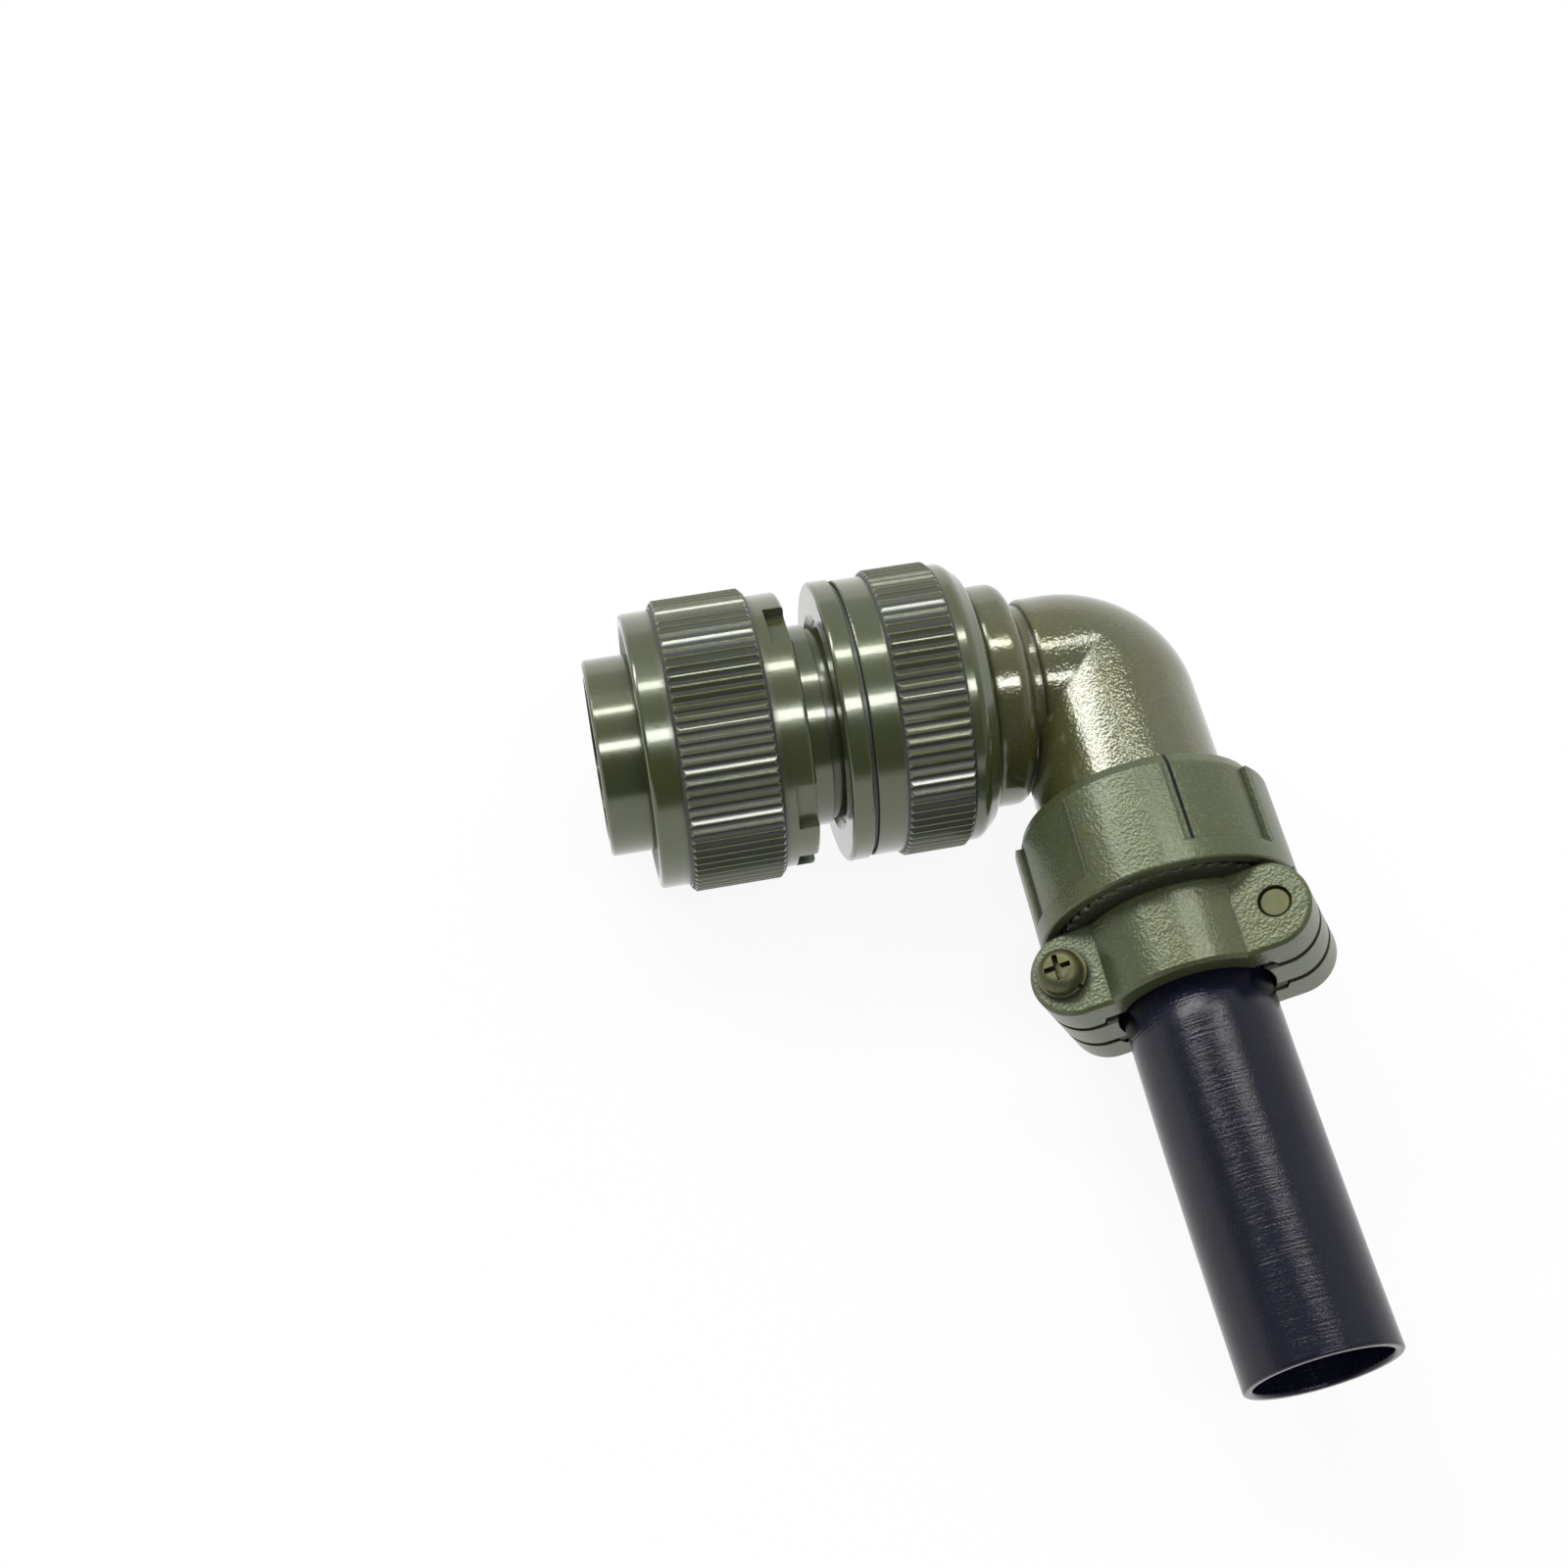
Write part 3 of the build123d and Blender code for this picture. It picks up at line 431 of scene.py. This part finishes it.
def zinc_screw(look):
    """Yellow-olive zinc on the screws and lock washers, with a painted highlight along edges and painted
    shade in the recess.
    """
    material, sheet = new_sheet("yellow_zinc_on_screws")
    colour = look.zinc_colour
    film = sheet.noise(1.1 * MM, 4.0)
    scratches = sheet.noise(0.14 * MM, 2.0, stretch=(1.0, 0.25, 1.0))
    rounded_normal = sheet.rounded(0.10 * MM)
    edge = sheet.edges(rounded_normal)
    groove_shade = sheet.hollows(1.0 * MM).between(0.40, 0.90)
    base = sheet.mottled(film.between(0.35, 0.7), colour, (1.12, 1.0, 0.72), (0.88, 1.0, 1.15))
    # Painted highlight: edges are lightened to several times the zinc colour.
    base = sheet.colour_mix(edge * 0.8, base, shade(colour, 3.6))
    # Painted shade: the recess is darkened in the colour.
    base = sheet.colour_mix(groove_shade * 0.75, base, shade(colour, 0.15))
    sheet.surface({
        "Base Color": base,
        "Metallic": 0.75,
        "Roughness": (0.36 + film * 0.16 + scratches * 0.08).held(),
        "Normal": sheet.bump(scratches * 0.5 + film * 0.5, 0.010 * MM, 0.6, rounded_normal),
    })
    return material


def spring_steel(look):
    """Plated spring steel of the retaining rings: fine marks round them, a little stained."""
    material, sheet = new_sheet("spring_steel")
    colour = look.steel_colour
    stain = sheet.noise(1.6 * MM, 4.0)
    drawn = sheet.noise(0.12 * MM, 2.0, stretch=LATHE_STRETCH)
    rounded_normal = sheet.rounded(0.08 * MM)
    edge = sheet.edges(rounded_normal)
    base = sheet.colour_mix(stain.between(0.40, 0.72) * 0.6, rgba(colour), tint(colour, 0.62, 0.56, 0.44))
    base = sheet.colour_mix(edge * 0.5, base, shade(colour, 1.5))
    sheet.surface({
        "Base Color": base,
        "Metallic": 0.9,
        "Roughness": (0.26 + drawn * 0.16 + stain * 0.1).held(),
        "Normal": sheet.bump(drawn, 0.006 * MM, 0.6, rounded_normal),
    })
    return material


def contact_gold(look):
    """Gold plating on the contacts, a little uneven, with drawing marks along their length and painted
    shade in hollows.
    """
    material, sheet = new_sheet("gold_on_contacts")
    colour = look.gold_colour
    film = sheet.noise(1.4 * MM, 3.0)
    drawn = sheet.noise(0.10 * MM, 2.0, stretch=(0.06, 1.0, 1.0))
    rounded_normal = sheet.rounded(0.08 * MM)
    groove_shade = sheet.hollows(0.8 * MM).between(0.4, 0.9)
    base = sheet.colour_mix(film.between(0.35, 0.7), rgba(colour), tint(colour, 0.92, 0.84, 0.70))
    # Painted shade: hollows are darkened in the colour.
    base = sheet.colour_mix(groove_shade * 0.6, base, shade(colour, 0.25))
    sheet.surface({
        "Base Color": base,
        "Metallic": 1.0,
        "Roughness": (0.20 + film * 0.10 + drawn * 0.12).held(),
        "Normal": sheet.bump(drawn, 0.005 * MM, 0.6, rounded_normal),
    })
    return material


def moulded_insulator(look):
    """Dark moulded insulator: fine filler grain, soft mottling, slightly paler worn edges."""
    material, sheet = new_sheet("moulded_insulator")
    colour = look.insulator_colour
    mottle = sheet.noise(2.2 * MM, 4.0)
    filler = sheet.noise(0.16 * MM, 2.0)
    rounded_normal = sheet.rounded(0.12 * MM)
    edge = sheet.edges(rounded_normal)
    base = sheet.colour_mix(mottle.between(0.35, 0.7), shade(colour, 0.8), shade(colour, 1.3))
    base = sheet.colour_mix(edge * 0.4 + filler.between(0.62, 0.8) * 0.25, base, shade(colour, 2.6))
    sheet.surface({
        "Base Color": base,
        "Roughness": (0.42 + mottle * 0.12 + filler * 0.1).held(),
        "Normal": sheet.bump(filler * 0.7 + mottle * 0.5, 0.014 * MM, 0.6, rounded_normal),
    })
    return material


def seal_rubber(look):
    """Black seal rubber with a fine matt skin and a dusty film."""
    material, sheet = new_sheet("seal_rubber")
    colour = look.seal_colour
    dust = sheet.noise(0.9 * MM, 4.0)
    skin = sheet.noise(0.12 * MM, 2.0)
    base = sheet.colour_mix(dust.between(0.45, 0.8) * 0.5, rgba(colour), shade(colour, 3.5))
    sheet.surface({
        "Base Color": base,
        "Roughness": (0.55 + dust * 0.2).held(),
        "Normal": sheet.bump(skin, 0.012 * MM, 0.7),
    })
    return material


def sleeve_rubber(look):
    """Blue-black extruded rubber: fine hoops, scuffs along it, dust, and a shoulder beside the clamp."""
    material, sheet = new_sheet("sleeve_rubber")
    colour = look.sleeve_colour
    mottle = sheet.noise(5.0 * MM, 4.0, stretch=(1.0, 0.35, 1.0))
    hoops = sheet.noise(0.24 * MM, 2.0, stretch=(0.05, 1.0, 0.05))
    scuffs = sheet.noise(0.40 * MM, 4.0, roughness=0.7, distortion=0.4, stretch=(1.0, 0.30, 1.0))
    scuffs = scuffs.between(0.56, 0.80)
    patches = sheet.noise(6.0 * MM, 3.0).between(0.38, 0.62)
    specks = sheet.noise(0.20 * MM, 1.0).between(0.74, 0.84)
    skin = sheet.noise(0.26 * MM, 3.0, roughness=0.65)
    rounded_normal = sheet.rounded(0.22 * MM)
    edge = sheet.edges(rounded_normal)
    base = sheet.colour_mix(mottle.between(0.35, 0.70), shade(colour, 0.85), shade(colour, 1.25))
    base = sheet.colour_mix(scuffs * patches * 0.22, base, rgba(look.dust_colour))
    base = sheet.colour_mix(specks * 0.20, base, rgba(look.dust_colour))
    base = sheet.colour_mix(edge * 0.35, base, rgba(look.dust_colour))
    pinched = 1.0 - sheet.arm_station().between(CLAMP_END, CLAMP_END + SHOULDER_LENGTH)
    shoulder = sheet.bump(1.0 - pinched * pinched, SHOULDER_DEPTH, 1.0, rounded_normal)
    relief = skin * 0.68 + hoops * 0.75 + scuffs * 0.12
    sheet.surface({
        "Base Color": base,
        "Roughness": (0.09 + mottle * 0.05 + skin * 0.05 + scuffs * patches * 0.12).held(),
        "Normal": sheet.bump(relief, 0.050 * MM, 0.85, shoulder),
        "Specular IOR Level": 0.36,
    })
    return material


class PlatingLook(bpy.types.PropertyGroup):
    """Colours and wear of the plated metal parts."""

    plating_colour: bpy.props.FloatVectorProperty(
        name="Turned parts", description="Olive plating on the shell and the nuts",
        subtype="COLOR", size=3, min=0, max=1, default=(0.074, 0.088, 0.036))
    elbow_colour: bpy.props.FloatVectorProperty(
        name="Elbow", description="Olive plating on the elbow, a little browner than the rest",
        subtype="COLOR", size=3, min=0, max=1, default=(0.092, 0.096, 0.036))
    clamp_colour: bpy.props.FloatVectorProperty(
        name="Clamp", description="Olive plating on the clamp ring and the saddles",
        subtype="COLOR", size=3, min=0, max=1, default=(0.088, 0.104, 0.048))
    # Besides rubbed plating, this colour is painted as a highlight on the elbow's crown teeth.
    rubbed_and_glint_colour: bpy.props.FloatVectorProperty(
        name="Rubbed edges", description="Colour where the plating is rubbed thin",
        subtype="COLOR", size=3, min=0, max=1, default=(0.26, 0.28, 0.20))
    edge_wear: bpy.props.FloatProperty(
        name="Edge wear", description="How far the rubbed colour shows along the edges",
        subtype="FACTOR", min=0, max=1, default=0.5)
    edge_rounding: bpy.props.FloatProperty(
        name="Edge rounding", description="Radius of the broken edges on the turned parts",
        subtype="DISTANCE", unit="LENGTH", min=0, max=0.001, default=0.00020, precision=5)


class SmallPartsLook(bpy.types.PropertyGroup):
    """Colours of the screws, rings, contacts, insulators and rubber."""

    zinc_colour: bpy.props.FloatVectorProperty(
        name="Screws", description="Yellow-olive zinc on the clamp screws and lock washers",
        subtype="COLOR", size=3, min=0, max=1, default=(0.105, 0.110, 0.058))
    steel_colour: bpy.props.FloatVectorProperty(
        name="Rings", description="Spring steel of the retaining rings",
        subtype="COLOR", size=3, min=0, max=1, default=(0.42, 0.42, 0.40))
    gold_colour: bpy.props.FloatVectorProperty(
        name="Contacts", description="Gold plating on the contacts",
        subtype="COLOR", size=3, min=0, max=1, default=(0.80, 0.56, 0.24))
    insulator_colour: bpy.props.FloatVectorProperty(
        name="Insulators", description="Moulded inserts that hold the contacts",
        subtype="COLOR", size=3, min=0, max=1, default=(0.030, 0.045, 0.040))
    seal_colour: bpy.props.FloatVectorProperty(
        name="Gasket", description="Seal between the shell and the elbow",
        subtype="COLOR", size=3, min=0, max=1, default=(0.020, 0.020, 0.020))
    sleeve_colour: bpy.props.FloatVectorProperty(
        name="Sleeve", description="Blue-black rubber of the cable sleeve",
        subtype="COLOR", size=3, min=0, max=1, default=(0.0058, 0.0060, 0.0150))
    dust_colour: bpy.props.FloatVectorProperty(
        name="Dust", description="Scuffs and dust on the sleeve",
        subtype="COLOR", size=3, min=0, max=1, default=(0.11, 0.11, 0.13))


class StudioLook(bpy.types.PropertyGroup):
    """Lamps, floor and camera."""

    strip_brightness: bpy.props.FloatProperty(
        name="Strip lamps", description="Brightness of the two long lamps above the plug",
        min=0, soft_max=40, default=13.0)
    panel_brightness: bpy.props.FloatProperty(
        name="Side panel", description="Brightness of the soft panel at the left, which the elbow shows",
        min=0, soft_max=20, default=11.5)
    room_brightness: bpy.props.FloatProperty(
        name="Room", description="Brightness of the soft light from all round",
        min=0, soft_max=2, default=1.0)
    floor_colour: bpy.props.FloatVectorProperty(
        name="Floor", description="Plain pale floor",
        subtype="COLOR", size=3, min=0, max=1, default=(0.86, 0.86, 0.86))
    lens: bpy.props.FloatProperty(
        name="Lens", description="Focal length of the camera",
        subtype="DISTANCE_CAMERA", unit="CAMERA", min=10, max=300, default=47.22)


class DRESS_OT_turned_parts(bpy.types.Operator):
    """Finish the plug shell and the two knurled nuts"""

    bl_idname = "dress.turned_parts"
    bl_label = "Shell and nuts"

    def execute(self, context):
        give(plated_turning(context.scene.plating_look), TURNED_PARTS)
        return {"FINISHED"}


class DRESS_OT_elbow(bpy.types.Operator):
    """Finish the elbow in the glossier of the two casting finishes"""

    bl_idname = "dress.elbow"
    bl_label = "Elbow"

    def execute(self, context):
        look = context.scene.plating_look
        material = plated_casting(
            look, "olive_plating_on_elbow", look.elbow_colour, is_clamp=False,
            roughness=0.09, rounding=0.6 * MM, gloss=1.0, coat=0.55)
        give(material, ("elbow",))
        return {"FINISHED"}


class DRESS_OT_clamp(bpy.types.Operator):
    """Finish the clamp ring and the saddles in the duller casting finish"""

    bl_idname = "dress.clamp"
    bl_label = "Clamp ring and saddles"

    def execute(self, context):
        look = context.scene.plating_look
        material = plated_casting(
            look, "olive_plating_on_clamp", look.clamp_colour, is_clamp=True,
            roughness=0.25, rounding=0.20 * MM, gloss=0.55, coat=0.12)
        give(material, CLAMP_CASTINGS)
        return {"FINISHED"}


class DRESS_OT_screws(bpy.types.Operator):
    """Finish the clamp screws and their lock washers"""

    bl_idname = "dress.screws"
    bl_label = "Clamp screws"

    def execute(self, context):
        give(zinc_screw(context.scene.small_parts_look), SCREWS + LOCK_WASHERS)
        return {"FINISHED"}


class DRESS_OT_rings(bpy.types.Operator):
    """Finish the retaining rings"""

    bl_idname = "dress.rings"
    bl_label = "Retaining rings"

    def execute(self, context):
        give(spring_steel(context.scene.small_parts_look), RETAINING_RINGS)
        return {"FINISHED"}


class DRESS_OT_insert(bpy.types.Operator):
    """Finish the insulators and the contacts they hold"""

    bl_idname = "dress.insert"
    bl_label = "Insulators and contacts"

    def execute(self, context):
        look = context.scene.small_parts_look
        give(moulded_insulator(look), INSULATORS)
        give(contact_gold(look), CONTACTS)
        return {"FINISHED"}


class DRESS_OT_rubber(bpy.types.Operator):
    """Finish the joint gasket and the cable sleeve"""

    bl_idname = "dress.rubber"
    bl_label = "Gasket and sleeve"

    def execute(self, context):
        look = context.scene.small_parts_look
        give(seal_rubber(look), ("joint_gasket",))
        give(sleeve_rubber(look), ("rubber_sleeve",))
        return {"FINISHED"}


def add_floor(look):
    """A plain floor under the part, which the camera sees as nearly white."""
    bpy.ops.object.select_all(action="DESELECT")
    bpy.ops.mesh.primitive_plane_add(size=FLOOR_SIZE, location=(0.0, 0.0, FLOOR_HEIGHT))
    floor = bpy.context.object
    floor.name = "floor"
    bpy.ops.object.transform_apply(location=True, rotation=True, scale=True)
    material, sheet = new_sheet("pale_floor")
    seen = sheet.white_seen()
    paper = sheet.add("ShaderNodeBsdfDiffuse", None, {"Color": rgba(look.floor_colour)})
    white = sheet.add("ShaderNodeEmission", None, {"Color": (1.0, 1.0, 1.0, 1.0), "Strength": 1.0})
    both = sheet.add("ShaderNodeMixShader", None, {0: seen * FLOOR_WHITE, 1: paper, 2: white})
    sheet.add("ShaderNodeOutputMaterial", None, {"Surface": both})
    floor.data.materials.append(material)


def light_world(look):
    """Soft room light: pale behind, to the right and at the horizon. The camera sees white."""
    world = bpy.data.worlds.new("soft_room")
    bpy.context.scene.world = world
    sheet = Sheet(world)
    direction = sheet.add("ShaderNodeTexCoord", output="Generated")
    right = sheet.add("ShaderNodeSeparateXYZ", None, {0: direction}, "X")
    back = sheet.add("ShaderNodeSeparateXYZ", None, {0: direction}, "Y")
    up = sheet.add("ShaderNodeSeparateXYZ", None, {0: direction}, "Z")
    back_wall = back.between(-0.35, 0.10) * 0.36 + back.between(0.25, 0.80) * 0.20
    walls = back_wall + right.between(0.15, 0.60) * 0.30
    horizon = (0.20 - up).between(0.0, 0.14)
    room = (0.06 + walls + horizon * 0.60).held() * look.room_brightness
    seen = sheet.white_seen(horizon)
    strength = seen + (1.0 - seen) * room
    values = {"Color": (1.0, 1.0, 1.0, 1.0), "Strength": strength}
    background = sheet.add("ShaderNodeBackground", None, values)
    sheet.add("ShaderNodeOutputWorld", None, {"Surface": background})


def stand(thing, right, up, back, place):
    """Puts a lamp or camera in its place, turned by the directions of its own three axes."""
    thing.matrix_world = Matrix((
        (right[0], up[0], back[0], place[0]),
        (right[1], up[1], back[1], place[1]),
        (right[2], up[2], back[2], place[2]),
        (0.0, 0.0, 0.0, 1.0),
    ))


def add_lamp(name, centre, length, width, colour, brightness):
    """A long soft lamp, level along the plug, that is turned towards the object."""
    lamp = bpy.data.lights.new(name, "AREA")
    lamp.shape = "RECTANGLE"
    lamp.size = length
    lamp.size_y = width
    lamp.energy = brightness * math.pi * length * width
    lamp.color = colour
    strip = bpy.data.objects.new(name, lamp)
    bpy.context.collection.objects.link(strip)
    back = Vector(centre).normalized()
    side = Vector((1.0, 0.0, 0.0)).cross(back).normalized()
    along = side.cross(back) * -1.0
    stand(strip, along, -side, back, centre)


def add_camera(look):
    """Adds the camera where the photograph was taken from."""
    data = bpy.data.cameras.new("camera")
    data.lens = look.lens
    data.sensor_width = 36.0
    data.dof.use_dof = False
    data.clip_start = 0.01
    camera = bpy.data.objects.new("camera", data)
    bpy.context.collection.objects.link(camera)
    stand(camera, CAMERA_RIGHT, CAMERA_UP, -Vector(CAMERA_FORWARD), CAMERA_PLACE)
    bpy.context.scene.camera = camera


class DRESS_OT_stage(bpy.types.Operator):
    """Add the floor, the lamps, the soft room light and the camera"""

    bl_idname = "dress.stage"
    bl_label = "Studio"

    def execute(self, context):
        look = context.scene.studio_look
        add_floor(look)
        light_world(look)
        for strip in STRIP_LAMPS:
            add_lamp(*strip, look.strip_brightness)
        add_lamp(*SIDE_PANEL, look.panel_brightness)
        add_camera(look)
        context.scene.view_settings.view_transform = "Standard"
        return {"FINISHED"}


OPERATORS = (
    DRESS_OT_turned_parts, DRESS_OT_elbow, DRESS_OT_clamp, DRESS_OT_screws, DRESS_OT_rings,
    DRESS_OT_insert, DRESS_OT_rubber, DRESS_OT_stage,
)


class DRESS_PT_panel(bpy.types.Panel):
    """Lists the finishes and the studio, with the colours they use"""

    bl_idname = "DRESS_PT_panel"
    bl_label = "Plug connector"
    bl_space_type = "VIEW_3D"
    bl_region_type = "UI"
    bl_category = "Plug connector"

    def draw(self, context):
        for group in LOOKS:
            look = getattr(context.scene, group)
            box = self.layout.box()
            for name in look.__annotations__:
                box.prop(look, name)
        for operator in OPERATORS:
            self.layout.operator(operator.bl_idname)


LOOKS = {"plating_look": PlatingLook, "small_parts_look": SmallPartsLook, "studio_look": StudioLook}
CLASSES = (*LOOKS.values(), *OPERATORS, DRESS_PT_panel)


def register():
    for cls in CLASSES:
        bpy.utils.register_class(cls)
    for name, cls in LOOKS.items():
        setattr(bpy.types.Scene, name, bpy.props.PointerProperty(type=cls))


def unregister():
    for name in LOOKS:
        delattr(bpy.types.Scene, name)
    for cls in reversed(CLASSES):
        bpy.utils.unregister_class(cls)


def main():
    register()
    bpy.ops.dress.turned_parts()
    bpy.ops.dress.elbow()
    bpy.ops.dress.clamp()
    bpy.ops.dress.screws()
    bpy.ops.dress.rings()
    bpy.ops.dress.insert()
    bpy.ops.dress.rubber()
    bpy.ops.dress.stage()


if __name__ == "__main__":
    main()
